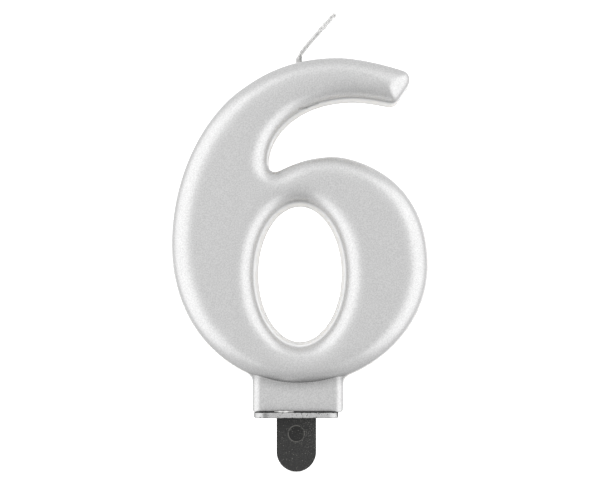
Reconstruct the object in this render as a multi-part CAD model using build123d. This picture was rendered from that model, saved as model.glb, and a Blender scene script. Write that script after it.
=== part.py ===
"""Number candle: a wax digit six on a short neck, with a plaited wick and a plastic cake pick.

The origin is the centre of the pick's flange, on its underside, where the candle sits on the cake.
X runs across the digit, Y from its front to its flat back, Z up. Lengths are in millimetres.
"""
import os
from math import pi, radians, tan
from build123d import *

os.makedirs("parts", exist_ok=True)

# The digit is cast in an open mould: a rounded front, drafted walls and a flat back.
THICKNESS = 12.0
FRONT_Y = -THICKNESS / 2
BACK_Y = THICKNESS / 2
DRAFT_ANGLE = 4.2
DRAFT = THICKNESS * tan(radians(DRAFT_ANGLE))
# The notch's side, the arm's underside and the cut at its end stand closer to square.
ARM_DRAFT = 0.25 * DRAFT
BEVEL_RADIUS = 3.25
COUNTER_BEVEL_RADIUS = 3.0
CUT_LOW_RADIUS = 1.5
CUT_HIGH_RADIUS = 1.8

# The digit's outline on its front plane: the points where the curve is level or upright.
TOP = (7.6, 68.7)
LEFT = (-23.8, 33.3)
BOTTOM = (-0.1, 6.7)
RIGHT = (24.45, 29.0)
BOWL_TOP = (6.3, 49.65)
NOTCH_FLOOR = (-4.2, 46.65)
NOTCH_SIDE = (-5.95, 48.7)
ARM_UNDERSIDE = (10.7, 61.1)
# The slanted cut at the arm's end.
CUT_LOW = (18.65, 60.05)
CUT_HIGH = (22.3, 65.4)
# Which way the outline runs through a point: level, upright, along the chord or steeper than the chord.
LEVEL = (1, 0)
UPRIGHT = (0, 1)
ALONG = (1, 1)
STEEP = (1, 2)
# The opening in the bowl, on the front plane.
COUNTER_CENTRE = (0.35, 27.4)
COUNTER_RADII = (8.95, 14.0)

# The neck under the bowl. Its face lies behind the digit's.
NECK_WIDTH = 17.7
NECK_FRONT_Y = FRONT_Y + 2.5
NECK_BACK_Y = BACK_Y
NECK_BASE_Z = 1.05
NECK_TOP_Z = 10.6
NECK_EDGE_RADIUS = 1.5
NECK_BASE_CHAMFER = 0.2
NECK_ROOT_RADIUS = 1.4

# The pick: a flange under the neck, a tab for the cake and an anchor inside the wax.
PICK_X = -0.3
PICK_Y = 0.6
FLANGE_WIDTH = 16.1
FLANGE_DEPTH = 10.4
FLANGE_THICKNESS = 1.05
FLANGE_CORNER_RADIUS = 2.0
FLANGE_EDGE_RADIUS = 0.2
TAB_WIDTH = 7.6
TAB_LENGTH = 10.5
TAB_THICKNESS = 1.5
TAB_EDGE_RADIUS = 0.2
TAB_MARK_RADIUS = 1.5
TAB_MARK_DEPTH = 0.12
TAB_MARK_Z = -3.2
ANCHOR_WIDTH = 6.0
ANCHOR_TOP_Z = 9.4
ANCHOR_CORNER_RADIUS = 1.2
KEY_HOLE_RADIUS = 1.0
KEY_HOLE_HEIGHTS = (3.7, 6.9)

# The wick runs through the middle of the stroke, out of its top and up to a free tip.
WICK_DIAMETER = 0.9
WICK_ROUTE = [
    (-2.0, 10.9),
    (-8.8, 13.3),
    (-13.6, 19.4),
    (-15.8, 28.3),
    (-15.6, 38.3),
    (-13.8, 47.3),
    (-10.2, 54.8),
    (-6.4, 60.1),
    (-3.4, 63.4),
    (-0.5, 66.4),
    (0.35, 69.4),
    (2.5, 72.3),
    (7.2, 77.55),
]
ARC_SHARE = 0.45


def plus(point, step):
    """The point moved by a step."""
    return (point[0] + step[0], point[1] + step[1])


def curve(start, start_way, start_share, end, end_way, end_share):
    """A curve between two points. Each handle is a share of the span, in the way that the outline runs there."""
    span = (end[0] - start[0], end[1] - start[1])
    ahead = (span[0] * start_way[0] * start_share, span[1] * start_way[1] * start_share)
    behind = (-span[0] * end_way[0] * end_share, -span[1] * end_way[1] * end_share)
    return Bezier(start, plus(start, ahead), plus(end, behind), end)


def outline(grow, arm_grow):
    """The digit's closed outline, grown outwards by the draft at this depth."""
    top = plus(TOP, (0, grow))
    left = plus(LEFT, (-grow, 0))
    bottom = plus(BOTTOM, (0, -grow))
    right = plus(RIGHT, (grow, 0))
    bowl_top = plus(BOWL_TOP, (0, grow))
    floor = plus(NOTCH_FLOOR, (0, grow))
    side = plus(NOTCH_SIDE, (arm_grow, 0))
    underside = plus(ARM_UNDERSIDE, (0, -arm_grow))
    cut_low = plus(CUT_LOW, (arm_grow, -arm_grow))
    cut_high = plus(CUT_HIGH, (arm_grow, arm_grow / 2))
    return Wire(
        [
            curve(top, LEVEL, 0.68, left, UPRIGHT, 0.46),
            curve(left, UPRIGHT, 0.68, bottom, LEVEL, 0.44),
            curve(bottom, LEVEL, 0.55, right, UPRIGHT, 0.53),
            curve(right, UPRIGHT, 0.9, bowl_top, LEVEL, 0.11),
            curve(bowl_top, LEVEL, 0.6, floor, LEVEL, 0.08),
            curve(floor, LEVEL, 0.58, side, UPRIGHT, 0.58),
            curve(side, UPRIGHT, 0.47, underside, LEVEL, 0.64),
            curve(underside, LEVEL, 0.4, cut_low, ALONG, 0.27),
            Line(cut_low, cut_high),
            curve(cut_high, STEEP, 0.2, top, LEVEL, 0.3),
        ]
    )


def stand(sketch, y):
    """The sketch stood up at the given depth, its X and Y along the model's X and Z."""
    return Plane((0, y, 0), x_dir=(1, 0, 0), z_dir=(0, -1, 0)) * sketch


def drafted(front, back):
    """The solid between an outline on the front plane and its drafted copy on the back plane."""
    return loft([stand(front, FRONT_Y), stand(back, BACK_Y)], ruled=True)


def front_face(solid):
    """The face nearest the front."""
    return solid.faces().sort_by(Axis.Y)[0]


def depth_run(edge):
    """How far an edge runs from front to back."""
    return abs(edge.position_at(0).Y - edge.position_at(1).Y)


def digit():
    """The six: a rounded front, drafted walls, a counter through the bowl, softened corners."""
    front = Sketch() + Face(outline(0, 0))
    back = Sketch() + Face(outline(DRAFT, ARM_DRAFT))
    body = drafted(front, back)
    body = fillet(front_face(body).edges(), BEVEL_RADIUS)
    wide, tall = COUNTER_RADII
    counter_front = Pos(*COUNTER_CENTRE) * Ellipse(wide, tall)
    counter_back = Pos(*COUNTER_CENTRE) * Ellipse(wide - DRAFT, tall - DRAFT)
    body -= drafted(counter_front, counter_back)
    body = fillet(front_face(body).inner_wires()[0].edges(), COUNTER_BEVEL_RADIUS)
    body = fillet(cut_corners(body)[0], CUT_LOW_RADIUS)
    return fillet(cut_corners(body)[-1], CUT_HIGH_RADIUS)


def cut_corners(body):
    """The two long edges at the arm's end, the lower one first."""
    shortest = 0.8 * (THICKNESS - BEVEL_RADIUS)
    long_edges = body.edges().filter_by(lambda edge: depth_run(edge) > shortest)
    at_arm = long_edges.filter_by(lambda edge: edge.center().X > TOP[0] and edge.center().Z > BOWL_TOP[1] + 2)
    return at_arm.sort_by(Axis.Z)


def neck():
    """The block under the bowl, with rounded uprights and a chamfered foot."""
    depth = NECK_BACK_Y - NECK_FRONT_Y
    height = NECK_TOP_Z - NECK_BASE_Z
    block = Box(NECK_WIDTH, depth, height)
    block = Pos(0, (NECK_FRONT_Y + NECK_BACK_Y) / 2, (NECK_BASE_Z + NECK_TOP_Z) / 2) * block
    uprights = block.edges().filter_by(Axis.Z).group_by(Axis.Y)
    block = fillet(uprights[0], NECK_EDGE_RADIUS)
    foot = block.faces().sort_by(Axis.Z)[0].edges()
    foot = foot.filter_by(lambda edge: edge.center().Y < NECK_BACK_Y - 0.1)
    return chamfer(foot, NECK_BASE_CHAMFER)


def neck_roots(body):
    """The edges where the neck's sides run into the underside of the bowl."""

    def on_side(point):
        return abs(abs(point.X) - NECK_WIDTH / 2) < 0.01 and point.Z > NECK_BASE_Z + NECK_BASE_CHAMFER + 1

    def is_root(edge):
        return on_side(edge.position_at(0)) and on_side(edge.position_at(1)) and depth_run(edge) > 0.2

    return body.edges().filter_by(is_root)


def wick_path():
    """The wick's centre line: straight runs joined by the largest arcs that they leave room for."""
    points = [Vector(x, 0, z) for x, z in WICK_ROUTE]
    radii = []
    for before, here, after in zip(points, points[1:], points[2:]):
        half_turn = radians((here - before).get_angle(after - here)) / 2
        run = min((here - before).length, (after - here).length)
        radii.append(ARC_SHARE * run / tan(half_turn))
    print("wick radii:", [round(radius, 1) for radius in radii])
    return FilletPolyline(*points, radius=radii)


def wick():
    """The whole wick as one round tube."""
    path = wick_path()
    section = Plane(origin=path @ 0, z_dir=path % 0) * Circle(WICK_DIAMETER / 2)
    tube = sweep(section, path=path)
    section_times_length = pi * WICK_DIAMETER**2 / 4 * path.length
    print("wick length:", round(path.length, 2), "volume ratio:", round(tube.volume / section_times_length, 4))
    return tube


def flange():
    """The plate under the neck, its corners rounded and its edges softened."""
    plate = extrude(RectangleRounded(FLANGE_WIDTH, FLANGE_DEPTH, FLANGE_CORNER_RADIUS), FLANGE_THICKNESS)
    rims = plate.faces().filter_by(Axis.Z).edges()
    return Pos(PICK_X, PICK_Y, 0) * fillet(rims, FLANGE_EDGE_RADIUS)


def tab():
    """The tab that goes into the cake: a round end, softened edges and an ejector pin's mark."""
    radius = TAB_WIDTH / 2
    straight = TAB_LENGTH - radius
    profile = Pos(0, -straight / 2) * Rectangle(TAB_WIDTH, straight)
    profile += Pos(0, -straight) * Circle(radius)
    blade = extrude(stand(profile, PICK_Y), TAB_THICKNESS / 2, both=True)
    rims = blade.faces().filter_by(Axis.Y).edges().filter_by(lambda edge: edge.center().Z < -0.01)
    blade = fillet(rims, TAB_EDGE_RADIUS)
    mark_face = PICK_Y - TAB_THICKNESS / 2
    mark = extrude(stand(Pos(0, TAB_MARK_Z) * Circle(TAB_MARK_RADIUS), mark_face), -TAB_MARK_DEPTH)
    return Pos(PICK_X, 0, 0) * (blade - mark)


def anchor():
    """The tongue that the wax is cast around, with its key holes."""
    height = ANCHOR_TOP_Z - FLANGE_THICKNESS
    tongue = Pos(0, FLANGE_THICKNESS + height / 2) * Rectangle(ANCHOR_WIDTH, height)
    shoulders = tongue.vertices().group_by(Axis.Y)[-1]
    tongue = fillet(shoulders, ANCHOR_CORNER_RADIUS)
    for key_hole_z in KEY_HOLE_HEIGHTS:
        tongue -= Pos(0, key_hole_z) * Circle(KEY_HOLE_RADIUS)
    return Pos(PICK_X, 0, 0) * extrude(stand(tongue, PICK_Y), TAB_THICKNESS / 2, both=True)


def cake_pick():
    """The whole plastic moulding."""
    return flange() + tab() + anchor()


def wax_body(wick_tube, pick):
    """The digit and its neck in one casting, with the room that the wick and the anchor take up."""
    body = digit() + neck()
    body = fillet(neck_roots(body), NECK_ROOT_RADIUS)
    return body - pick - wick_tube


wick_tube = wick()
pick = cake_pick()
nodes = {"wax_body": wax_body(wick_tube, pick), "wick": wick_tube, "cake_pick": pick}
for name, shape in nodes.items():
    solids = shape.solids()
    print(name, "solids:", len(solids), "volume:", round(shape.volume, 1))
    export_step(shape, f"parts/{name}.step")
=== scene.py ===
"""The looks of a silver number candle: a lacquered wax six, its waxed wick and its plastic cake pick.

Shapes are worked out in millimetres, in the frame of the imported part, and written to Blender in metres.
"""
import math

import bpy
import numpy as np
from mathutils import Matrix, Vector


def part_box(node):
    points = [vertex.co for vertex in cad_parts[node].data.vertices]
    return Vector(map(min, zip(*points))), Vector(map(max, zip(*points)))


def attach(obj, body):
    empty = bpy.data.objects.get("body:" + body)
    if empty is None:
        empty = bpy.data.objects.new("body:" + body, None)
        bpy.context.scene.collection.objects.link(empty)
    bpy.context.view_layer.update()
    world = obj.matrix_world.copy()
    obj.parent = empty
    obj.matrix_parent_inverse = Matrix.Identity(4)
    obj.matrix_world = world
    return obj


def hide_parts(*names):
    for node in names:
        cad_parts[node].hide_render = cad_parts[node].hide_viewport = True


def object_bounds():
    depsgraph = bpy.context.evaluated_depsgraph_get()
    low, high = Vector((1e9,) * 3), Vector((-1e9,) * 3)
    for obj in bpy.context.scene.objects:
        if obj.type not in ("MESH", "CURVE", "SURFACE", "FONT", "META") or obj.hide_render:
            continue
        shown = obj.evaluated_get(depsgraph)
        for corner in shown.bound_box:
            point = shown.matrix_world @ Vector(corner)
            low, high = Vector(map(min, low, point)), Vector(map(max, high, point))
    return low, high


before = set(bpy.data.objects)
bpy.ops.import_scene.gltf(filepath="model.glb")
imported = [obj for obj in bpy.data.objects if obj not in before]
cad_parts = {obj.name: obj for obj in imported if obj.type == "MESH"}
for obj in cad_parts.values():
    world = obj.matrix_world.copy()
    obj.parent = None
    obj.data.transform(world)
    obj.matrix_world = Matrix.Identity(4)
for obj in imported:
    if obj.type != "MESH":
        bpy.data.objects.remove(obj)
cad_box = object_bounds()

MM = 0.001

# ---------------------------------------------------------------- the digit
# The CAD model's outline and sizes, except that the front bevel is 0.25 mm wider and the neck's foot 0.02 mm
# higher. The finer details of the surface come further down.
THICKNESS = 12.0
FRONT_Y = -THICKNESS / 2
BACK_Y = THICKNESS / 2
DRAFT = THICKNESS * math.tan(math.radians(4.2))
ARM_DRAFT_SHARE = 0.25
BEVEL_RADIUS = 3.5
COUNTER_BEVEL_RADIUS = 3.0

TOP = (7.6, 68.7)
LEFT = (-23.8, 33.3)
BOTTOM = (-0.1, 6.7)
RIGHT = (24.45, 29.0)
BOWL_TOP = (6.3, 49.65)
NOTCH_FLOOR = (-4.2, 46.65)
NOTCH_SIDE = (-5.95, 48.7)
ARM_UNDERSIDE = (10.7, 61.1)
CUT_LOW = (18.65, 60.05)
CUT_HIGH = (22.3, 65.4)
CUT_LOW_RADIUS = 1.5
CUT_HIGH_RADIUS = 1.8
COUNTER_CENTRE = (0.35, 27.4)
COUNTER_RADII = (8.95, 14.0)

LEVEL = (1, 0)
UPRIGHT = (0, 1)
ALONG = (1, 1)
STEEP = (1, 2)

NECK_HALF_WIDTH = 8.85
NECK_FRONT_Y = FRONT_Y + 2.5
NECK_BASE_Z = 1.07
NECK_TOP_Z = 10.6
NECK_EDGE_RADIUS = 1.5

FLANGE_THICKNESS = 1.05
TAB_MARK_RADIUS = 1.5
TAB_MARK_Z = -3.2

WICK_ROUTE = [
    (-2.0, 10.9),
    (-8.8, 13.3),
    (-13.6, 19.4),
    (-15.8, 28.3),
    (-15.6, 38.3),
    (-13.8, 47.3),
    (-10.2, 54.8),
    (-6.4, 60.1),
    (-3.4, 63.4),
    (-0.5, 66.4),
    (0.35, 69.4),
    (2.5, 72.3),
    (7.2, 77.55),
]

# ---------------------------------------------------------------- camera
CAMERA_DISTANCE = 0.400
CAMERA_PLACE = Vector((0.0035, -CAMERA_DISTANCE, 0.0235))
CAMERA_AIM = Vector((0.0004, 0.0, 0.0329))
VIEW_WIDTH = 0.11533
SENSOR_WIDTH = 36.0


def make_camera():
    """A long lens, a little to the candle's right and below its middle, that looks slightly up."""
    data = bpy.data.cameras.new("camera")
    data.sensor_width = SENSOR_WIDTH
    data.lens = SENSOR_WIDTH * CAMERA_DISTANCE / VIEW_WIDTH
    data.clip_start = 0.01
    data.clip_end = 20.0
    camera = bpy.data.objects.new("camera", data)
    camera.location = CAMERA_PLACE
    camera.rotation_euler = (CAMERA_AIM - CAMERA_PLACE).to_track_quat("-Z", "Y").to_euler()
    bpy.context.scene.collection.objects.link(camera)
    bpy.context.scene.camera = camera


make_camera()


# ---------------------------------------------------------------- outlines
def curve(start, start_way, start_share, end, end_way, end_share, count=40):
    """Points on the cubic between two outline points, without the last one."""
    start, end = np.array(start, float), np.array(end, float)
    span = end - start
    first = start + span * start_way * start_share
    second = end - span * end_way * end_share
    t = np.linspace(0, 1, count, endpoint=False)[:, None]
    s = 1 - t
    return s**3 * start + 3 * s**2 * t * first + 3 * s * t**2 * second + t**3 * end


def rounded_tip(corner, before, after, radius, count=12):
    """Points of the arc that rounds a corner between two other points, and how far along them it reaches."""
    corner = np.array(corner, float)
    into = (corner - before) / np.linalg.norm(corner - before)
    away = (after - corner) / np.linalg.norm(after - corner)
    turn = math.acos(into @ away)
    reach = radius * math.tan(turn / 2)
    across = np.array([-into[1], into[0]])
    centre = corner - into * reach + across * radius
    angles = np.linspace(0, turn, count)[:, None]
    return centre + radius * (into * np.sin(angles) - across * np.cos(angles)), reach


def away_from(points, corner, reach):
    """The points further from a corner than its arc reaches."""
    return points[np.linalg.norm(points - corner, axis=1) > reach]


def digit_outline():
    """The digit's closed outline on its front plane."""
    underside = curve(ARM_UNDERSIDE, LEVEL, 0.4, CUT_LOW, ALONG, 0.27, 60)
    crown = curve(CUT_HIGH, STEEP, 0.2, TOP, LEVEL, 0.3, 60)
    low_tip, low_reach = rounded_tip(CUT_LOW, underside[-3], np.array(CUT_HIGH), CUT_LOW_RADIUS)
    high_tip, high_reach = rounded_tip(CUT_HIGH, np.array(CUT_LOW), crown[6], CUT_HIGH_RADIUS)
    return np.vstack(
        [
            curve(TOP, LEVEL, 0.68, LEFT, UPRIGHT, 0.46, 60),
            curve(LEFT, UPRIGHT, 0.68, BOTTOM, LEVEL, 0.44, 60),
            curve(BOTTOM, LEVEL, 0.55, RIGHT, UPRIGHT, 0.53, 60),
            curve(RIGHT, UPRIGHT, 0.9, BOWL_TOP, LEVEL, 0.11, 60),
            curve(BOWL_TOP, LEVEL, 0.6, NOTCH_FLOOR, LEVEL, 0.08),
            curve(NOTCH_FLOOR, LEVEL, 0.58, NOTCH_SIDE, UPRIGHT, 0.58, 16),
            curve(NOTCH_SIDE, UPRIGHT, 0.47, ARM_UNDERSIDE, LEVEL, 0.64, 60),
            away_from(underside, CUT_LOW, low_reach),
            low_tip,
            high_tip,
            away_from(crown, CUT_HIGH, high_reach),
        ]
    )


def counter_outline(count=160):
    """The opening's closed outline on the front plane."""
    turn = np.linspace(0, 2 * math.pi, count, endpoint=False)
    wide, tall = COUNTER_RADII
    return np.c_[COUNTER_CENTRE[0] + wide * np.cos(turn), COUNTER_CENTRE[1] + tall * np.sin(turn)]


# ---------------------------------------------------------------- distance fields
def signed_distance(points, loop):
    """How far inside the closed loop each point lies; negative outside."""
    start = loop
    step = np.roll(loop, -1, axis=0) - loop
    length2 = (step**2).sum(1)
    depth = np.empty(len(points))
    for first in range(0, len(points), 4000):
        block = points[first : first + 4000]
        offset = block[:, None, :] - start[None]
        along = np.clip((offset * step).sum(2) / length2, 0, 1)
        nearest = offset - along[..., None] * step
        gap = np.sqrt((nearest**2).sum(2).min(1))
        low = start[None, :, 1] <= block[:, None, 1]
        high = (start + step)[None, :, 1] <= block[:, None, 1]
        cross = step[:, 0] * offset[..., 1] - step[:, 1] * offset[..., 0]
        winding = ((low & ~high & (cross > 0)).astype(int) - (~low & high & (cross < 0))).sum(1)
        depth[first : first + 4000] = np.where(winding != 0, gap, -gap)
    return depth


class Field:
    """A quantity known on a square grid over X and Z, read anywhere by bilinear steps."""

    def __init__(self, values, origin, step):
        self.values, self.origin, self.step = values, origin, step

    def softened(self, radius):
        """The same field blurred over a distance, which rounds its creases."""
        reach = int(3 * radius / self.step) + 1
        kernel = np.exp(-0.5 * (np.arange(-reach, reach + 1) * self.step / radius) ** 2)
        kernel /= kernel.sum()
        out = self.values
        for axis in (0, 1):
            padded = np.pad(out, [(reach, reach) if a == axis else (0, 0) for a in (0, 1)], mode="edge")
            out = np.apply_along_axis(lambda line: np.convolve(line, kernel, mode="valid"), axis, padded)
        return Field(out, self.origin, self.step)

    def at(self, x, z):
        u = np.clip((x - self.origin[0]) / self.step, 0, self.values.shape[0] - 1.001)
        w = np.clip((z - self.origin[1]) / self.step, 0, self.values.shape[1] - 1.001)
        i, k = u.astype(int), w.astype(int)
        fu, fw = u - i, w - k
        v = self.values
        near = v[i, k] * (1 - fu) + v[i + 1, k] * fu
        far = v[i, k + 1] * (1 - fu) + v[i + 1, k + 1] * fu
        return near * (1 - fw) + far * fw


def depth_field(loop, low, high, step):
    """The signed distance of a loop on a grid between two corners."""
    xs = np.arange(low[0], high[0] + step, step)
    zs = np.arange(low[1], high[1] + step, step)
    grid = np.stack(np.meshgrid(xs, zs, indexing="ij"), -1).reshape(-1, 2)
    return Field(signed_distance(grid, loop).reshape(len(xs), len(zs)), low, step)


def rounded_corner(p, q, radius):
    """The corner of two half spaces, each negative inside, rounded to a radius."""
    p, q = p + radius, q + radius
    outside = np.hypot(np.maximum(p, 0), np.maximum(q, 0))
    return outside + np.minimum(np.maximum(p, q), 0) - radius


def shoulder(p, q, width, radius):
    """The corner of a wall p and a face q, both negative inside, rounded over a width on the face."""
    stretch = radius / width
    return rounded_corner(p * stretch, q, radius)


def blend_union(a, b, reach):
    """The union of two solids with a fillet of about that reach in their corner."""
    mix = np.clip(0.5 + 0.5 * (b - a) / reach, 0, 1)
    return b * (1 - mix) + a * mix - reach * mix * (1 - mix)


def blend_cut(a, b, reach):
    """The part common to both solids, with its new edge rounded."""
    return -blend_union(-a, -b, reach)


def segment_distance(x, z, start, end):
    """How far each point is from a straight line between two points."""
    step_x, step_z = end[0] - start[0], end[1] - start[1]
    along = ((x - start[0]) * step_x + (z - start[1]) * step_z) / (step_x**2 + step_z**2)
    along = np.clip(along, 0, 1)
    return np.hypot(x - start[0] - along * step_x, z - start[1] - along * step_z)


def smooth_step(value, low, high):
    """0 below low, 1 above high and a smooth rise between."""
    t = np.clip((value - low) / (high - low), 0, 1)
    return t * t * (3 - 2 * t)


# ---------------------------------------------------------------- meshes from solids given as formulas
def surface_net(solid, low, high, step, polish=3):
    """The surface of solid(x, y, z) < 0 between two corners: an even mesh of four-sided faces."""
    axes = [np.arange(a - 1.5 * step, b + 2.5 * step, step) for a, b in zip(low, high)]
    value = solid(*np.meshgrid(*axes, indexing="ij"))
    inside = value < 0
    shape = tuple(n - 1 for n in value.shape)
    corners = [(i, j, k) for i in (0, 1) for j in (0, 1) for k in (0, 1)]

    def at(array, corner):
        i, j, k = corner
        return array[i : i + shape[0], j : j + shape[1], k : k + shape[2]]

    count_inside = sum(at(inside, corner).astype(np.int8) for corner in corners)
    active = (count_inside > 0) & (count_inside < 8)
    cells = np.argwhere(active)
    index = np.full(shape, -1, np.int64)
    index[active] = np.arange(len(cells))
    total = np.zeros((len(cells), 3))
    crossings = np.zeros(len(cells))
    for corner in corners:
        for axis in range(3):
            if corner[axis]:
                continue
            other = tuple(1 if a == axis else c for a, c in enumerate(corner))
            a, b = at(value, corner)[active], at(value, other)[active]
            split = (a < 0) != (b < 0)
            place = np.tile(np.array(corner, float), (len(cells), 1))
            place[:, axis] = np.where(split, a / np.where(split, a - b, 1), 0)
            total += place * split[:, None]
            crossings += split
    vertices = np.array([axis[0] for axis in axes]) + (cells + total / crossings[:, None]) * step

    faces = []
    for axis in range(3):
        ahead = [slice(None)] * 3
        behind = [slice(None)] * 3
        ahead[axis], behind[axis] = slice(1, None), slice(None, -1)
        change = inside[tuple(ahead)] != inside[tuple(behind)]
        edges = np.argwhere(change)
        u, w = [a for a in range(3) if a != axis]
        keep = (edges[:, u] > 0) & (edges[:, w] > 0) & (edges[:, u] < shape[u]) & (edges[:, w] < shape[w])
        edges = edges[keep]
        ring = []
        for du, dw in ((0, 0), (-1, 0), (-1, -1), (0, -1)):
            cell = edges.copy()
            cell[:, u] += du
            cell[:, w] += dw
            ring.append(index[tuple(cell.T)])
        quad = np.stack(ring, 1)
        start_inside = inside[tuple(edges.T)]
        flip = start_inside if axis == 1 else ~start_inside
        quad[flip] = quad[flip][:, ::-1]
        faces.append(quad)
    faces = np.vstack(faces)

    for _ in range(polish):
        here = solid(*vertices.T)
        slope = np.empty_like(vertices)
        nudge = 0.2 * step
        for axis in range(3):
            shift = np.zeros(3)
            shift[axis] = nudge
            slope[:, axis] = (solid(*(vertices + shift).T) - solid(*(vertices - shift).T)) / (2 * nudge)
        size2 = np.maximum((slope**2).sum(1), 0.05)
        move = -(here / size2)[:, None] * slope
        reach = np.linalg.norm(move, axis=1, keepdims=True)
        vertices = vertices + move * np.minimum(1, 0.5 * step / np.maximum(reach, 1e-9))
    return vertices, faces


def mesh_object(name, vertices, faces):
    """A smooth-shaded Blender object from vertices in millimetres."""
    mesh = bpy.data.meshes.new(name)
    mesh.from_pydata((np.asarray(vertices) * MM).tolist(), [], [tuple(map(int, face)) for face in faces])
    mesh.validate()
    mesh.polygons.foreach_set("use_smooth", [True] * len(mesh.polygons))
    obj = bpy.data.objects.new(name, mesh)
    bpy.context.scene.collection.objects.link(obj)
    return obj


# ---------------------------------------------------------------- the wax body
# Sizes of the rounding, the draft and the flaws, then the steps of the grids and the corners that they span.
BEVEL_WIDTH = 4.5
ARM_END_BEVEL_WIDTH = 6.4
COUNTER_BEVEL_WIDTH = 4.3
OUTLINE_EASE = 0.03
CREASE_SOFTNESS = 0.35
BEVEL_MEETING = 0.8
BACK_EDGE_RADIUS = 0.35
BACK_SINK = 0.18
NECK_DRAFT = 0.3
NECK_FOOT_RADIUS = 0.12
NECK_SIDE_FOOT_RADIUS = 0.55
NECK_ROOT_FRONT = 0.1
NECK_ROOT_GROWTH = 1.3
GROOVE = ((0.2, 58.8), (1.7, 59.2), (3.9, 60.0))
GROOVE_DEPTH = 0.3
GROOVE_WIDTH = 0.17
WAVE_HEIGHT = 0.02
FIELD_STEP = 0.25
FIELD_LOW, FIELD_HIGH = (-27.0, 3.0), (28.0, 73.0)
BODY_LOW, BODY_HIGH = (-25.2, FRONT_Y, NECK_BASE_Z), (25.6, BACK_Y, 70.2)
BODY_STEP = 0.25


def make_body_solid():
    """The wax body as a formula over X, Y and Z."""
    outer = depth_field(digit_outline(), FIELD_LOW, FIELD_HIGH, FIELD_STEP).softened(CREASE_SOFTNESS)
    counter = depth_field(counter_outline(), FIELD_LOW, FIELD_HIGH, FIELD_STEP)

    def outer_draft_share(x, z):
        """Less than 1 on the arm and in the notch above the bowl, where the walls stand closer to square."""
        above_bowl = smooth_step(z - 0.25 * x, 47.5, 49.0)
        return 1 - (1 - ARM_DRAFT_SHARE) * above_bowl * smooth_step(x, -14, -9)

    def solid(x, y, z):
        draft = DRAFT * ((y - FRONT_Y) / THICKNESS)
        inside = outer.at(x, z) + draft * outer_draft_share(x, z) + OUTLINE_EASE
        at_arm_end = smooth_step(x, 13, 20) * smooth_step(z, 56, 58)
        bevel_width = BEVEL_WIDTH + (ARM_END_BEVEL_WIDTH - BEVEL_WIDTH) * at_arm_end
        beside = -counter.at(x, z) + draft
        waves = WAVE_HEIGHT * (2 + np.sin(0.71 * x + 0.34 * z) * np.sin(0.53 * z - 0.2 * x + 1.3))
        flaw = np.min([segment_distance(x, z, a, b) for a, b in zip(GROOVE, GROOVE[1:])], axis=0)
        face = FRONT_Y + waves - y + GROOVE_DEPTH * np.exp(-((flaw / GROOVE_WIDTH) ** 2))
        front = blend_cut(
            shoulder(-inside, face, bevel_width, BEVEL_RADIUS),
            shoulder(-beside, face, COUNTER_BEVEL_WIDTH, COUNTER_BEVEL_RADIUS),
            BEVEL_MEETING,
        )
        nearest = np.minimum(inside, beside)
        sink = BACK_SINK * smooth_step(nearest, 0.5, 6)
        back = rounded_corner(-nearest, y - (BACK_Y - sink), BACK_EDGE_RADIUS)
        digit = np.maximum(front, back)
        upright_radius = np.where(y < 0, NECK_EDGE_RADIUS, BACK_EDGE_RADIUS)
        across = np.abs(x) - NECK_HALF_WIDTH + NECK_DRAFT * (BACK_Y - y) / THICKNESS
        through = np.maximum(NECK_FRONT_Y - y, y - BACK_Y)
        neck = rounded_corner(across, through, upright_radius)
        side_foot = rounded_corner(across, NECK_BASE_Z - z, NECK_SIDE_FOOT_RADIUS)
        neck = np.maximum(rounded_corner(neck, NECK_BASE_Z - z, NECK_FOOT_RADIUS), side_foot)
        neck = np.maximum(neck, z - NECK_TOP_Z)
        root = NECK_ROOT_FRONT + NECK_ROOT_GROWTH * smooth_step(y, NECK_FRONT_Y + 0.3, -0.5)
        body = blend_union(digit, neck, root)
        return np.maximum(body, y - BACK_Y)

    return solid


def make_body(step):
    """The digit and neck, replacing the CAD body."""
    solid = make_body_solid()
    vertices, faces = surface_net(solid, BODY_LOW, BODY_HIGH, step)
    body = mesh_object("lacquered_body", vertices, faces)
    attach(body, "root")
    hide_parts("wax_body")
    return body


# The bead of wax between the neck and the flange.
STREAK_X = -2.6
STREAK_HALF_LENGTH = 1.9
STREAK_HALF_DEPTH = 0.5
STREAK_Y = NECK_FRONT_Y - 0.45
STREAK_Z = FLANGE_THICKNESS + 0.13
STREAK_HEIGHT = 0.14
STREAK_LEAST_HEIGHT = 0.01


def make_streak():
    """The bead of wax squeezed out between the neck and the flange, thin and uneven."""

    def solid(x, y, z):
        along = np.clip((x - STREAK_X) / STREAK_HALF_LENGTH, -1, 1)
        height = STREAK_HEIGHT * (1 - along**2) * (1 + 0.3 * np.sin(5 * x)) + STREAK_LEAST_HEIGHT
        centre_y = STREAK_Y + 0.08 * np.sin(3 * x)
        ahead = (y - centre_y) / STREAK_HALF_DEPTH
        up = (z - STREAK_Z) / np.maximum(height, STREAK_LEAST_HEIGHT)
        past_end = np.maximum(np.abs(x - STREAK_X) - STREAK_HALF_LENGTH + 0.05, 0)
        return (np.hypot(ahead, up) - 1) * 0.1 + past_end

    low = (-4.6, NECK_FRONT_Y - 1.05, FLANGE_THICKNESS - 0.15)
    high = (-0.6, NECK_FRONT_Y + 0.15, FLANGE_THICKNESS + 0.40)
    vertices, faces = surface_net(solid, low, high, 0.05, polish=1)
    streak = mesh_object("wax_streak", vertices, faces)
    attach(streak, "root")
    return streak


# ---------------------------------------------------------------- the wick
WICK_FOOT_Z = 68.4
WICK_POINT_SPACING = 0.12
PLAIT_PITCH = 4.4
STRAND_SIDES = 12
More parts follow.
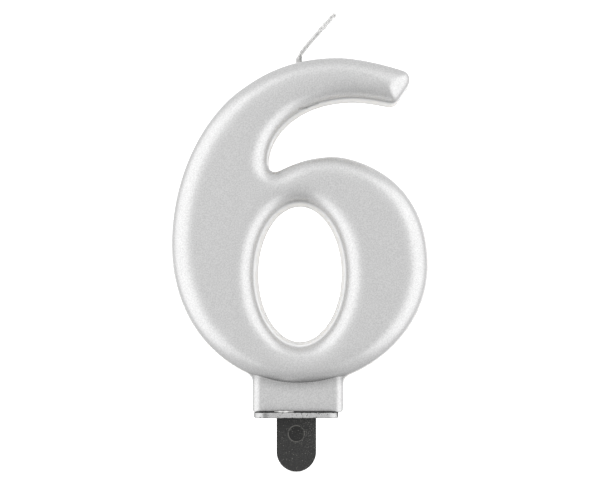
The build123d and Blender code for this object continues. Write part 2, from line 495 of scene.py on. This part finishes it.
# How far from the tip the strands come loose, then each of their sizes where tight and its change where loose.
LOOSENS_FROM, LOOSENS_TO = 6.5, 4.0
SWAY, LOOSE_SWAY = 0.22, 0.06
DEPTH_SWAY, LOOSE_DEPTH_SWAY = 0.09, 0.03
STRAND_RADIUS, LOOSE_STRAND_THINNING = 0.245, 0.035
FRAYED_BULGE, BULGE_TO_TIP, BULGE_REACH = 0.28, 3.1, 0.9
HIDDEN_STRAND_SETBACK = 0.2


def smooth_path(points, spacing):
    """Evenly spaced points on the smooth line through the given ones."""
    points = np.array(points, float)
    ends = np.vstack([2 * points[0] - points[1], points, 2 * points[-1] - points[-2]])
    line = []
    for a, b, c, d in zip(ends, ends[1:], ends[2:], ends[3:]):
        t = np.linspace(0, 1, 60, endpoint=False)[:, None]
        bend, twist = 2 * a - 5 * b + 4 * c - d, 3 * b - a - 3 * c + d
        line.append(0.5 * (2 * b + (c - a) * t + bend * t**2 + twist * t**3))
    line = np.vstack([*line, points[-1:]])
    length = np.r_[0, np.cumsum(np.linalg.norm(np.diff(line, axis=0), axis=1))]
    steps = np.linspace(0, length[-1], int(length[-1] / spacing) + 1)
    return np.stack([np.interp(steps, length, line[:, k]) for k in range(line.shape[1])], 1), steps


def tube(centres, sides_a, sides_b, radii, sides):
    """A closed tube: rings of points around a line, with a cap at each end."""
    angles = np.arange(sides) / sides * 2 * math.pi
    cosines, sines = np.cos(angles)[None, :, None], np.sin(angles)[None, :, None]
    ring = cosines * sides_a[:, None] + sines * sides_b[:, None]
    vertices = (centres[:, None] + radii[:, None, None] * ring).reshape(-1, 3)
    faces = []
    for i in range(len(centres) - 1):
        for k in range(sides):
            a, b = i * sides + k, i * sides + (k + 1) % sides
            faces.append((a, b, b + sides, a + sides))
    last = len(vertices)
    vertices = np.vstack([vertices, centres[:1], centres[-1:]])
    end = (len(centres) - 1) * sides
    for k in range(sides):
        faces.append((last, (k + 1) % sides, k))
        faces.append((last + 1, end + k, end + (k + 1) % sides))
    return vertices, faces


def make_wick():
    """Three plaited strands along the wick's route, waxed together low down and looser towards the tip."""
    line, along = smooth_path(WICK_ROUTE, WICK_POINT_SPACING)
    tangent = np.gradient(line, axis=0)
    tangent /= np.linalg.norm(tangent, axis=1, keepdims=True)
    across = np.c_[-tangent[:, 1], np.zeros(len(line)), tangent[:, 0]]
    deep = np.tile((0.0, 1.0, 0.0), (len(line), 1))
    centre = np.c_[line[:, 0], np.zeros(len(line)), line[:, 1]]
    to_tip = along[-1] - along
    loose = smooth_step(-to_tip, -LOOSENS_FROM, -LOOSENS_TO)
    wide = SWAY + LOOSE_SWAY * loose
    thick = DEPTH_SWAY + LOOSE_DEPTH_SWAY * loose
    girth = (STRAND_RADIUS - LOOSE_STRAND_THINNING * loose) * np.sqrt(np.clip(to_tip / 0.1, 0.5, 1))
    girth *= 1 + 0.06 * np.sin(along * 3.1) * np.sin(along * 1.7 + 1)
    girth *= 1 + FRAYED_BULGE * np.exp(-(((to_tip - BULGE_TO_TIP) / BULGE_REACH) ** 2))
    vertices, faces, first = [], [], 0
    for strand in range(3):
        phase = 2 * math.pi * (np.minimum(to_tip, 1.02 * PLAIT_PITCH) / PLAIT_PITCH + strand / 3)
        behind = thick * np.sin(2 * phase)
        if strand == 0:
            behind = behind + HIDDEN_STRAND_SETBACK * (1 - loose)
        middle = centre + (wide * np.sin(phase))[:, None] * across + behind[:, None] * deep
        points, quads = tube(middle, across, deep, girth, STRAND_SIDES)
        vertices.append(points)
        faces += [tuple(first + i for i in face) for face in quads]
        first += len(points)
    wick = mesh_object("plaited_wick", np.vstack(vertices), faces)
    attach(wick, "root")
    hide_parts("wick")
    return wick


COLLAR_X = 0.22
COLLAR_RADII = (0.58, 0.50)
COLLAR_TOP_Z = 69.30


def make_collar():
    """The lump of wax and lacquer that the wick stands in, wider than the wick and worn flat on top."""

    def solid(x, y, z):
        x = x - COLLAR_X - 0.03 * np.sin(4 * z)
        round_side = np.hypot(x / COLLAR_RADII[0], y / COLLAR_RADII[1]) - 1
        top = z - COLLAR_TOP_Z - 0.10 * np.sin(5 * x + 0.6) - 0.05 * np.sin(9 * y)
        return rounded_corner(0.5 * round_side, top, 0.12)

    vertices, faces = surface_net(solid, (-0.6, -0.65, 67.6), (1.1, 0.65, 69.6), 0.05, polish=1)
    collar = mesh_object("wick_collar", vertices, faces)
    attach(collar, "root")
    return collar


# ---------------------------------------------------------------- materials
def new_material(name):
    """A material with no nodes yet."""
    material = bpy.data.materials.new(name)
    material.use_nodes = True
    material.node_tree.nodes.clear()
    return material


class Nodes:
    """Short ways to add shader nodes and join them."""

    def __init__(self, owner):
        self.tree = owner.node_tree

    def add(self, kind, inputs=None, **settings):
        """A new node, with its settings made and its inputs set or linked."""
        node = self.tree.nodes.new(kind)
        for key, value in settings.items():
            setattr(node, key, value)
        for key, value in (inputs or {}).items():
            self.give(node.inputs[key], value)
        return node

    def give(self, socket, value):
        """Links an input to another node's output, or sets it to a plain value."""
        if isinstance(value, bpy.types.NodeSocket):
            self.tree.links.new(value, socket)
        else:
            socket.default_value = value

    def math(self, operation, *values, clamp=False):
        node = self.add("ShaderNodeMath", operation=operation, use_clamp=clamp)
        for socket, value in zip(node.inputs, values):
            self.give(socket, value)
        return node.outputs[0]

    def span(self, value, low, high, to_low=0.0, to_high=1.0):
        """A smooth rise of a value from one range to another."""
        node = self.add("ShaderNodeMapRange", interpolation_type="SMOOTHSTEP")
        for socket, number in zip(node.inputs, (value, low, high, to_low, to_high)):
            self.give(socket, number)
        return node.outputs[0]

    def noise(self, place, scale, detail=2.0, roughness=0.5):
        node = self.add("ShaderNodeTexNoise", {"Vector": place, "Scale": scale, "Detail": detail})
        node.inputs["Roughness"].default_value = roughness
        return node.outputs[0]

    def dots(self, place, scale, share, radius):
        """1 in small round dots, in that share of a scatter of cells, and 0 between them."""
        cell = self.add("ShaderNodeTexVoronoi", {"Vector": place, "Scale": scale})
        chosen = self.math("LESS_THAN", self.split(cell.outputs["Color"])[0], share)
        return self.math("MULTIPLY", chosen, self.span(cell.outputs["Distance"], radius, radius * 0.6))

    def from_segment(self, x, z, start, end):
        """The distance, across X and Z, from a straight line between two points given in millimetres."""
        step = ((end[0] - start[0]) * MM, (end[1] - start[1]) * MM)
        length2 = step[0] ** 2 + step[1] ** 2
        across = self.math("SUBTRACT", x, start[0] * MM)
        up = self.math("SUBTRACT", z, start[1] * MM)
        along = self.math("ADD", self.math("MULTIPLY", across, step[0]), self.math("MULTIPLY", up, step[1]))
        along = self.math("DIVIDE", along, length2, clamp=True)
        across = self.math("SUBTRACT", across, self.math("MULTIPLY", along, step[0]))
        up = self.math("SUBTRACT", up, self.math("MULTIPLY", along, step[1]))
        squares = self.math("ADD", self.math("MULTIPLY", across, across), self.math("MULTIPLY", up, up))
        return self.math("SQRT", squares)

    def mix(self, share, a, b):
        """Colour a where the share is 0 and colour b where it is 1."""
        node = self.add("ShaderNodeMix", data_type="RGBA")
        self.give(node.inputs[0], share)
        self.give(node.inputs[6], a)
        self.give(node.inputs[7], b)
        return node.outputs[2]

    def bump(self, height, strength, distance):
        node = self.add("ShaderNodeBump", {"Height": height, "Strength": strength, "Distance": distance})
        return node.outputs[0]

    def place(self):
        """Where on the object the point is, in metres."""
        return self.add("ShaderNodeTexCoord").outputs["Object"]

    def split(self, vector):
        return self.add("ShaderNodeSeparateXYZ", {0: vector}).outputs

    def output(self, shader):
        self.add("ShaderNodeOutputMaterial", {"Surface": shader})


SILVER_DARK = (0.645, 0.645, 0.645, 1)
SILVER_LIGHT = (0.800, 0.800, 0.800, 1)
# A darker silver: painted shade along the groove, and a slightly darker neck.
SILVER_DARKENED = (0.20, 0.20, 0.20, 1)
# Painted shade: the colour that creases take, and how far the ambient occlusion looks for them.
CREASE_SHADE_SILVER = (0.06, 0.06, 0.06, 1)
CREASE_SHADE_REACH = 0.0024
WAX_IVORY = (0.78, 0.768, 0.747, 1)
# Painted shade: the grey that the bare wax takes at its back rim.
WAX_RIM_SHADE = (0.53, 0.52, 0.505, 1)


def lacquer_shader(n, place):
    """Fine silver lacquer with a little grain, with painted shade in creases, above all in the one over the
    neck.
    """
    x, y, z = n.split(place)
    grain = n.noise(place, 4200.0, 2.0, 0.6)
    silver = n.mix(n.span(grain, 0.3, 0.7), SILVER_DARK, SILVER_LIGHT)
    openness_for_painted_shade = n.add("ShaderNodeAmbientOcclusion", {"Distance": CREASE_SHADE_REACH}, samples=8).outputs["AO"]
    # Painted shade: creases are darkest at the height where the bowl meets the neck, and faintest at the
    # neck's foot.
    strength = n.span(z, 0.0030, 0.0050, 0.75, 1.85)
    strength = n.math("SUBTRACT", strength, n.span(z, 0.0115, 0.0135, 0.0, 0.35))
    openness_for_painted_shade = n.math("SUBTRACT", 1.0, n.math("MULTIPLY", n.math("SUBTRACT", 1.0, openness_for_painted_shade), strength))
    silver = n.mix(n.span(openness_for_painted_shade, 0.42, 0.96), CREASE_SHADE_SILVER, silver)
    # The neck, below the bowl, is painted slightly darker.
    silver = n.mix(n.span(z, 0.0078, 0.0066, 0.0, 0.05), silver, SILVER_DARKENED)
    # Painted shade along the groove.
    for start, end in zip(GROOVE, GROOVE[1:]):
        near = n.span(n.from_segment(x, z, start, end), 0.00019, 0.00006)
        silver = n.mix(n.math("MULTIPLY", near, 0.35), silver, SILVER_DARKENED)
    normal = n.bump(grain, 0.10, 0.00002)
    return n.add(
        "ShaderNodeBsdfPrincipled",
        {"Base Color": silver, "Metallic": 0.92, "Roughness": 0.38, "Normal": normal},
    ).outputs[0]


def lacquer_material():
    """Silver lacquer over ivory wax, with painted shade on the wax towards its back rim. The spray came from
    the front, so it thins along the walls.
    """
    material = new_material("silver_lacquer_over_wax")
    n = Nodes(material)
    place = n.place()
    x, y, z = n.split(place)
    cloud = n.noise(place, 160.0, 3.0, 0.55)
    # Painted shade: the bare wax greys towards the back rim.
    rim = n.span(y, 0.0038, 0.0058)
    wax = n.add(
        "ShaderNodeBsdfPrincipled",
        {
            "Base Color": n.mix(rim, WAX_IVORY, WAX_RIM_SHADE),
            "Roughness": 0.45,
            "Subsurface Weight": 0.6,
            "Subsurface Radius": (0.0030, 0.0028, 0.0025),
            "Subsurface Scale": 0.3,
            "Normal": n.bump(cloud, 0.2, 0.0001),
        },
    )
    wander = n.math("MULTIPLY", n.math("SUBTRACT", cloud, 0.5), 0.0016)
    bare = n.span(n.math("ADD", y, wander), -0.0021, 0.0004)
    shader = n.add("ShaderNodeMixShader", {0: bare, 1: lacquer_shader(n, place), 2: wax.outputs[0]})
    n.output(shader.outputs[0])
    return material


def streak_material():
    """Bare white wax with a few grey flecks."""
    material = new_material("squeezed_wax")
    n = Nodes(material)
    flecks = n.noise(n.place(), 2600.0, 3.0, 0.7)
    colour = n.mix(n.span(flecks, 0.60, 0.70), (0.97, 0.965, 0.95, 1), (0.25, 0.245, 0.23, 1))
    shader = n.add("ShaderNodeBsdfPrincipled", {"Base Color": colour, "Roughness": 0.4})
    n.output(shader.outputs[0])
    return material


def collar_material():
    """White wax on the left of the wick's foot, turning dark grey on its right and lower down."""
    material = new_material("collar_of_wax_and_lacquer")
    n = Nodes(material)
    place = n.place()
    x, y, z = n.split(place)
    mottle = n.math("MULTIPLY", n.math("SUBTRACT", n.noise(place, 2400.0, 2.0, 0.6), 0.5), 0.0008)
    # Dark grey on the right of the wick's foot and lower down.
    grey = n.span(n.math("ADD", x, mottle), 0.00015, 0.00045)
    low = n.span(n.math("ADD", z, mottle), (COLLAR_TOP_Z - 0.2) * MM, (COLLAR_TOP_Z - 0.7) * MM)
    grey = n.math("MAXIMUM", grey, n.math("MULTIPLY", low, 0.6))
    colour = n.mix(grey, (0.76, 0.755, 0.745, 1), (0.36, 0.36, 0.355, 1))
    shader = n.add("ShaderNodeBsdfPrincipled", {"Base Color": colour, "Roughness": 0.5})
    n.output(shader.outputs[0])
    return material


def centre_distance(n, x, z, centre_x, centre_z):
    """How far a point is, across X and Z, from a centre given in metres."""
    across = n.math("SUBTRACT", x, centre_x)
    up = n.math("SUBTRACT", z, centre_z)
    return n.math("SQRT", n.math("ADD", n.math("POWER", across, 2.0), n.math("POWER", up, 2.0)))


def plastic_material():
    """Matt black plastic with light dust, and silver overspray along the flange's front edge."""
    low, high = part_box("cake_pick")
    middle_x = (low.x + high.x) / 2
    mark = TAB_MARK_RADIUS * MM
    flange_top = FLANGE_THICKNESS * MM
    material = new_material("dusty_black_plastic")
    n = Nodes(material)
    place = n.place()
    x, y, z = n.split(place)
    fine = n.noise(place, 5200.0, 2.0, 0.7)
    patches = n.noise(place, 420.0, 2.0, 0.5)

    away = centre_distance(n, x, z, middle_x, TAB_MARK_Z * MM)
    disc = n.span(away, mark + 0.00002, mark - 0.00012)
    rim = n.math(
        "MULTIPLY", n.span(away, mark - 0.00012, mark), n.span(away, mark + 0.00022, mark + 0.00008)
    )
    broken_rim = n.math("MULTIPLY", rim, n.span(n.math("ADD", fine, patches), 0.78, 1.08))

    near_top = n.span(z, -0.0075, -0.0020)
    right = n.span(x, -0.0010, 0.0024)
    share = n.math("ADD", n.math("MULTIPLY", n.math("MULTIPLY", near_top, right), 0.85), 0.16)
    dots = n.dots(place, 3600.0, share, 0.30)
    small_dots = n.dots(place, 6500.0, n.math("MULTIPLY", share, 0.8), 0.32)
    colour = n.mix(n.span(fine, 0.3, 0.7), (0.009, 0.009, 0.009, 1), (0.030, 0.030, 0.029, 1))
    colour = n.mix(n.math("MULTIPLY", disc, 0.8), colour, (0.004, 0.004, 0.004, 1))
    colour = n.mix(n.math("MULTIPLY", broken_rim, 0.55), colour, (0.20, 0.195, 0.18, 1))
    colour = n.mix(n.math("MULTIPLY", dots, 0.5), colour, (0.30, 0.295, 0.27, 1))
    colour = n.mix(n.math("MULTIPLY", small_dots, 0.5), colour, (0.26, 0.255, 0.235, 1))
    plastic = n.add(
        "ShaderNodeBsdfPrincipled",
        {"Base Color": colour, "Roughness": 0.6, "Normal": n.bump(fine, 0.3, 0.00003)},
    )

    front = n.span(y, low.y + 0.0019, low.y + 0.0009)
    flat = n.math("MULTIPLY", n.span(z, 0.00003, 0.00014), n.span(z, flange_top, flange_top - 0.00011))
    right_end = n.span(x, high.x - 0.00055, high.x - 0.00010)
    worn = n.math("SUBTRACT", 0.52, n.math("MULTIPLY", flat, 0.15))
    worn = n.math("ADD", worn, n.math("MULTIPLY", right_end, 0.18))
    chips = n.span(n.math("SUBTRACT", n.noise(place, 3000.0, 3.0, 0.75), worn), -0.03, 0.05)
    scuff = n.span(n.math("ABSOLUTE", n.math("SUBTRACT", x, low.x + 0.0022)), 0.0006, 0.0002)
    cover = n.math("SUBTRACT", 0.86, n.math("MULTIPLY", scuff, 0.35))
    sprayed = n.math("MULTIPLY", n.math("MULTIPLY", front, n.span(z, 0.0, 0.00005)), chips)
    sprayed = n.math("MULTIPLY", sprayed, cover)
    shader = n.add(
        "ShaderNodeMixShader", {0: sprayed, 1: plastic.outputs[0], 2: lacquer_shader(n, place)}
    )
    n.output(shader.outputs[0])
    return material


def wick_material():
    """Cotton soaked in white wax, with painted shade between its strands, and darker where it leaves the
    candle, most on its right.
    """
    material = new_material("waxed_cotton")
    n = Nodes(material)
    place = n.place()
    x, y, z = n.split(place)
    fibre = n.noise(place, 2600.0, 3.0, 0.6)
    colour = n.mix(n.span(fibre, 0.35, 0.65), (0.56, 0.557, 0.55, 1), (0.86, 0.857, 0.85, 1))
    # Painted shade in the crevices between the strands.
    openness_for_painted_shade = n.add("ShaderNodeAmbientOcclusion", {"Distance": 0.0004}, samples=8).outputs["AO"]
    colour = n.mix(n.span(openness_for_painted_shade, 0.35, 0.95), (0.47, 0.47, 0.463, 1), colour)
    # Darker low down at the wick's foot, most on its right.
    low = n.span(z, (WICK_FOOT_Z + 0.8) * MM, (WICK_FOOT_Z + 0.3) * MM)
    right = n.span(x, 0.0001, 0.0004)
    darker_foot = n.math("MULTIPLY", low, n.math("ADD", n.math("MULTIPLY", right, 0.75), 0.2))
    colour = n.mix(darker_foot, colour, (0.26, 0.255, 0.25, 1))
    shader = n.add(
        "ShaderNodeBsdfPrincipled",
        {"Base Color": colour, "Roughness": 0.42, "Normal": n.bump(fibre, 0.3, 0.00004)},
    )
    n.output(shader.outputs[0])
    return material


# ---------------------------------------------------------------- floor, light
FLOOR_REACH = 1.8
FLOOR_BEND = 0.8
FLOOR_SIDES = 64
BEND_STEPS = 12
WALL_HEIGHT = 2.6


def make_floor():
    """A plain pale floor that bends up into a wall all around. It neither lights nor shades the candle."""
    base = cad_box[0].z
    material = new_material("pale_floor")
    n = Nodes(material)
    shader = n.add(
        "ShaderNodeBsdfPrincipled",
        {
            "Base Color": (0.95, 0.95, 0.95, 1),
            "Roughness": 1.0,
            "Specular IOR Level": 0.0,
            "Emission Color": (1, 1, 1, 1),
            "Emission Strength": 0.75,
        },
    )
    n.output(shader.outputs[0])
    flat = FLOOR_REACH - FLOOR_BEND
    profile = [(0.3 * FLOOR_REACH, 0.0)]
    for i in range(BEND_STEPS + 1):
        turn = i / BEND_STEPS * math.pi / 2
        profile.append((flat + FLOOR_BEND * math.sin(turn), FLOOR_BEND - FLOOR_BEND * math.cos(turn)))
    profile.append((FLOOR_REACH, WALL_HEIGHT))
    ways = [2 * math.pi * k / FLOOR_SIDES for k in range(FLOOR_SIDES)]
    vertices = [(radius * math.cos(w), radius * math.sin(w), base + z) for radius, z in profile for w in ways]
    faces = [tuple(range(FLOOR_SIDES))]
    for ring in range(len(profile) - 1):
        for k in range(FLOOR_SIDES):
            a, b = ring * FLOOR_SIDES + k, ring * FLOOR_SIDES + (k + 1) % FLOOR_SIDES
            faces.append((a, a + FLOOR_SIDES, b + FLOOR_SIDES, b))
    mesh = bpy.data.meshes.new("floor")
    mesh.from_pydata(vertices, [], faces)
    mesh.polygons.foreach_set("use_smooth", [True] * len(mesh.polygons))
    mesh.materials.append(material)
    floor = bpy.data.objects.new("floor", mesh)
    bpy.context.scene.collection.objects.link(floor)
    floor.visible_glossy = False
    floor.visible_diffuse = False
    floor.visible_shadow = False


ROOM_LEVEL = 0.711
ROOM_ABOVE = 0.06
ROOM_BELOW = 0.20
ROOM_BACK_BELOW = 0.14
ROOM_UNDER = 0.08
ROOM_BEHIND = 0.75
CANDLE_MIDDLE = Vector((0.0, 0.0, 0.034))
BOX_DISTANCE = 0.8
BOUNCE = 1.00
BOUNCE_Z = -0.5
BOUNCE_SIZE = (1.0, 1.0)
# Name, turn to the right and rise in degrees, width and height in metres, radiance.
SOFT_BOXES = [
    ("left_box", -63, 0, 1.45, 1.8, 0.64),
    ("right_box", 66, 0, 1.3, 1.8, 0.64),
    ("top_box", 0, 54, 1.0, 0.5, 0.20),
]


def area_light(name, place, aim, size, power):
    """A soft box: a rectangle of light facing a point."""
    data = bpy.data.lights.new(name, "AREA")
    data.shape = "RECTANGLE"
    data.size, data.size_y = size
    data.energy = power
    light = bpy.data.objects.new(name, data)
    light.location = place
    light.rotation_euler = (Vector(aim) - Vector(place)).to_track_quat("-Z", "Y").to_euler()
    bpy.context.scene.collection.objects.link(light)
    return light


def make_room():
    """The pale room around the candle: lighter overhead, darker below the middle and brightest behind."""
    world = bpy.data.worlds.new("room")
    world.use_nodes = True
    world.node_tree.nodes.clear()
    n = Nodes(world)
    x, y, z = n.split(n.add("ShaderNodeTexCoord").outputs["Generated"])
    middle = n.span(n.math("ABSOLUTE", x), 0.6, 0.15)
    below = n.math("MULTIPLY", n.span(z, 0.05, -0.6), middle)
    above = n.span(z, 0.15, 0.8)
    behind = n.math("MULTIPLY", n.span(y, 0.68, 0.97), n.span(z, -0.4, -0.05))
    back_below = n.math("MULTIPLY", n.span(y, 0.0, 0.45), n.span(z, -0.15, -0.45))
    back_below = n.math("MULTIPLY", back_below, middle)
    under = n.span(z, -0.75, -0.98)
    light = n.math("ADD", n.math("MULTIPLY", above, ROOM_ABOVE), ROOM_LEVEL)
    for share, level in ((below, ROOM_BELOW), (back_below, ROOM_BACK_BELOW), (under, ROOM_UNDER)):
        light = n.math("SUBTRACT", light, n.math("MULTIPLY", share, level))
    light = n.math("ADD", light, n.math("MULTIPLY", behind, ROOM_BEHIND))
    background = n.add("ShaderNodeBackground", {"Color": (1, 1, 1, 1), "Strength": light})
    n.add("ShaderNodeOutputWorld", {"Surface": background.outputs[0]})
    bpy.context.scene.world = world


def make_light():
    """Soft boxes left and right, a weak one in front and above, and light from below, as off a pale floor."""
    make_room()
    for name, turn, rise, width, height, radiance in SOFT_BOXES:
        turn, rise = math.radians(turn), math.radians(rise)
        way = Vector((math.sin(turn) * math.cos(rise), -math.cos(turn) * math.cos(rise), math.sin(rise)))
        place = CANDLE_MIDDLE + BOX_DISTANCE * way
        area_light(name, place, CANDLE_MIDDLE, (width, height), radiance * math.pi * width * height)
    bounce = area_light("floor_bounce", (0, 0, BOUNCE_Z), CANDLE_MIDDLE, BOUNCE_SIZE, BOUNCE * math.pi)
    bounce.visible_glossy = False


def set_colour_management():
    """Plain display colours, with no film look."""
    view = bpy.context.scene.view_settings
    view.view_transform = "Standard"
    view.look = "None"
    view.exposure = 0.0
    view.gamma = 1.0


# ---------------------------------------------------------------- making
body = make_body(BODY_STEP)
body.data.materials.append(lacquer_material())
streak = make_streak()
streak.data.materials.append(streak_material())
collar = make_collar()
collar.data.materials.append(collar_material())
wick = make_wick()
wick.data.materials.append(wick_material())
covers = {"wax_body": body, "wick": wick}
for node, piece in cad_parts.items():
    piece.data.materials.clear()
    piece.data.materials.append(covers[node].data.materials[0] if node in covers else plastic_material())

make_floor()
make_light()
set_colour_management()
